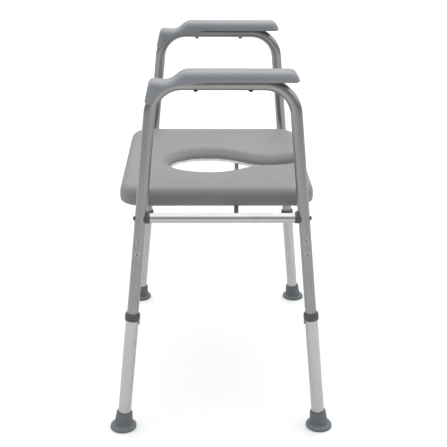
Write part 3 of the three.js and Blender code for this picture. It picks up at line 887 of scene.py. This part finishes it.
def quadratic(start, control, end, steps):
    first = tuple(a + (b - a) * 2 / 3 for a, b in zip(start, control))
    second = tuple(a + (b - a) * 2 / 3 for a, b in zip(end, control))
    return curve(start, first, second, end, steps)


def pad_outline():
    """The pad from the side, as (y, z, how much the rounding moves the point).

    It starts at the front below, runs back along the tube, and returns over the tongue, the dip and
    the flat top.
    """
    turn = leg_up(1, -1).angle(Y)
    bend_y = ARM_CORNER[1] - BEND_RADIUS * math.tan(turn / 2)
    bend_z = ARM_CORNER[2] - BEND_RADIUS
    inner = BEND_RADIUS + 0.002
    below = [(PAD_FRONT + 0.002, PAD_BOTTOM), (bend_y - 0.045, PAD_BOTTOM)]
    below += arc((bend_y, bend_z), inner, math.pi / 2, PAD_TONGUE_TURN, 24)
    above = [(PAD_BACK, bend_z + inner * math.sin(PAD_TONGUE_TURN) + 0.004)]
    above += quadratic(
        (PAD_BACK - 0.006, PAD_DIP - 0.010),
        (PAD_BACK - 0.008, PAD_DIP + 0.002),
        (PAD_BACK - 0.018, PAD_DIP + 0.002),
        8,
    )
    above.append((PAD_BACK - 0.018, PAD_DIP + 0.002))
    foot = (PAD_STEP + 0.038, PAD_DIP)
    middle = (PAD_STEP + 0.020, PAD_DIP + 0.005)
    above += quadratic(foot, (PAD_STEP + 0.028, PAD_DIP), middle, 8)
    above += quadratic(middle, (PAD_STEP + 0.004, PAD_TOP), (PAD_STEP - 0.006, PAD_TOP), 10)
    above.append((PAD_STEP - 0.006, PAD_TOP))
    nose = (PAD_FRONT + 0.004, PAD_TOP - 0.009)
    above += quadratic((PAD_FRONT + 0.020, PAD_TOP), (PAD_FRONT + 0.008, PAD_TOP), nose, 10)
    above += [nose, (PAD_FRONT, PAD_BOTTOM + 0.003)]
    return [(y, z, 0.0) for y, z in below] + [(y, z, 1.0) for y, z in above]


def inset(outline, depth):
    """Moves the upper points of the pad's outline inwards."""
    moved = []
    for i, (y, z, share) in enumerate(outline):
        before, after = outline[i - 1], outline[(i + 1) % len(outline)]
        along = Vector((after[0] - before[0], after[1] - before[1])).normalized()
        moved.append((y - along.y * depth * share, z + along.x * depth * share))
    return moved


def pad_slices(x):
    """Outlines across the pad: rounded over towards each side."""
    outline = pad_outline()
    steps = 8
    turns = [math.pi / 2 * i / steps for i in range(1, steps + 1)]
    slices = []
    for sign, side_turns in ((-1, turns[::-1]), (1, turns)):
        for turn in side_turns:
            reach = PAD_HALF - PAD_EDGE + PAD_EDGE * math.sin(turn)
            depth = PAD_EDGE * (1 - math.cos(turn))
            slices.append([(x + sign * reach, y, z) for y, z in inset(outline, depth)])
    return slices


def make_pads():
    """Moulded soft pads: lofted, remeshed and relaxed, with a groove that sits on the arm tube."""
    for side, sx in SIDES.items():
        made = lofted(f"pad_skin_{side}", pad_slices(sx * ARM_CORNER[0]), "arm_pad")
        remeshed(made, 0.0016, 5)
        groove = solid_sweep(side_stations(sx), TUBE_R + GAP)
        combine(made, [groove], "DIFFERENCE")
        smooth(made, 50)
        finish_piece(made, "frame", [f"arm_pad_{side}"])


def make_arm_screws():
    profile = [
        (0, -0.0012),
        (0.0017, -0.0012),
        (0.0019, -0.0027),
        (0.0026, -0.0026),
        (0.0034, -0.0021),
        (0.0041, -0.0012),
        (0.0044, -0.0003),
        (0.0042, 0),
        (0.0019, 0),
        (0.0019, 0.0316),
        (0.0012, 0.0322),
        (0, 0.0322),
    ]
    for side, sx in SIDES.items():
        for place, y in ARM_SCREWS.items():
            start = Vector((sx * ARM_CORNER[0], y, ARM_CORNER[2] - TUBE_R - GAP))
            made = turned(f"pad_screw_{place}_{side}", profile, start, Z, "dark_steel", 40)
            finish_piece(made, "frame", [f"arm_screw_{place}_{side}"])


# ---------------------------------------------------------------- the CAD nodes that stay

KEPT = {"seat_clip": "dark_plastic", "clip_screw": "steel", "spring_clip": "steel"}


def dress_kept_nodes():
    """Clips, their screws and the springs inside the legs keep their own geometry."""
    for corner, _, _ in CORNERS:
        for name, material in KEPT.items():
            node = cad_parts[f"{name}_{corner}"]
            node.data.materials.clear()
            node.data.materials.append(MATERIALS[material])


# ---------------------------------------------------------------- studio

CAMERA_PLACE = Vector((-1.96672, 0.03877, 1.09849))
CAMERA_YAW = 0.024
CAMERA_PITCH = 0.3757
CAMERA_ROLL = 0.0078
CAMERA_LENS = 77.65
SENSOR = 36.0
WORLD_LOW = 0.25
WORLD_HIGH = 1.0
SUN_WIDTH = 110
FLOOR_SIZE = 16.0
FLOOR_CELLS = 8
SUNS = [("front_sun", (0.35, -0.5, 1), 2.0), ("back_sun", (0.4, 0.45, 1), 1.7)]


def make_camera():
    forward = Vector((
        math.cos(CAMERA_YAW) * math.cos(CAMERA_PITCH),
        -math.sin(CAMERA_YAW) * math.cos(CAMERA_PITCH),
        -math.sin(CAMERA_PITCH),
    ))
    right = forward.cross(Z).normalized()
    up = right.cross(forward)
    turn_cos, turn_sin = math.cos(CAMERA_ROLL), math.sin(CAMERA_ROLL)
    rolled_right = right * turn_cos + up * turn_sin
    rolled_up = up * turn_cos - right * turn_sin
    camera = bpy.data.objects.new("photo_camera", bpy.data.cameras.new("photo_camera"))
    bpy.context.scene.collection.objects.link(camera)
    spin = Matrix((rolled_right, rolled_up, -forward)).transposed()
    camera.matrix_world = Matrix.Translation(CAMERA_PLACE) @ spin.to_4x4()
    camera.data.sensor_width = SENSOR
    camera.data.lens = CAMERA_LENS
    camera.data.dof.use_dof = False
    bpy.context.scene.camera = camera


def make_sun(name, place, power):
    """A very wide, soft sun that shines from a direction towards the stool."""
    data = bpy.data.lights.new(name, "SUN")
    data.angle = math.radians(SUN_WIDTH)
    data.energy = power
    lamp = bpy.data.objects.new(name, data)
    bpy.context.scene.collection.objects.link(lamp)
    lamp.rotation_euler = (-Vector(place)).to_track_quat("-Z", "Y").to_euler()


def make_floor():
    row = FLOOR_CELLS + 1
    lines = [(i / FLOOR_CELLS - 0.5) * FLOOR_SIZE for i in range(row)]
    vertices = [(x, y, 0) for y in lines for x in lines]
    faces = [
        (j * row + i, j * row + i + 1, (j + 1) * row + i + 1, (j + 1) * row + i)
        for j in range(FLOOR_CELLS)
        for i in range(FLOOR_CELLS)
    ]
    floor = new_piece("studio_floor", vertices, faces, "floor")


def light_world(tree):
    """The room is dim at eye level and bright overhead, so that the tubes are modelled."""
    background = tree.nodes["Background"]
    background.inputs["Color"].default_value = (1, 1, 1, 1)
    place = tree.nodes.new("ShaderNodeTexCoord")
    parts = tree.nodes.new("ShaderNodeSeparateXYZ")
    level = tree.nodes.new("ShaderNodeMapRange")
    level.inputs["From Min"].default_value = 0
    level.inputs["From Max"].default_value = 1
    level.inputs["To Min"].default_value = WORLD_LOW
    level.inputs["To Max"].default_value = WORLD_HIGH
    tree.links.new(place.outputs["Generated"], parts.inputs["Vector"])
    tree.links.new(parts.outputs["Z"], level.inputs["Value"])
    tree.links.new(level.outputs["Result"], background.inputs["Strength"])


def make_studio():
    floor = Shader("floor_finish", (0.72, 0.72, 0.72), 0.9, 0.0, Specular_IOR_Level=0.1)
    MATERIALS["floor"] = floor.material
    make_floor()
    world = bpy.data.worlds.new("studio")
    world.use_nodes = True
    light_world(world.node_tree)
    bpy.context.scene.world = world
    for name, aim, power in SUNS:
        make_sun(name, aim, power)
    bpy.context.scene.view_settings.view_transform = "Standard"
    bpy.context.scene.view_settings.look = "None"


# ---------------------------------------------------------------- the stool

def make_stool():
    make_side_frames()
    make_seat_frame()
    for corner, sx, sy in CORNERS:
        make_leg_tube(corner, sx, sy)
        make_collar(corner, sx, sy)
        make_foot(corner, sx, sy)
        make_button(corner, sx, sy)
        make_rivets(corner, sx, sy)
        make_saddle(corner, sx, sy)
        make_rail_bolt(corner, sx, sy)
    make_cushion()
    make_board()
    make_pads()
    make_arm_screws()
    dress_kept_nodes()


make_stool()
make_studio()
make_camera()
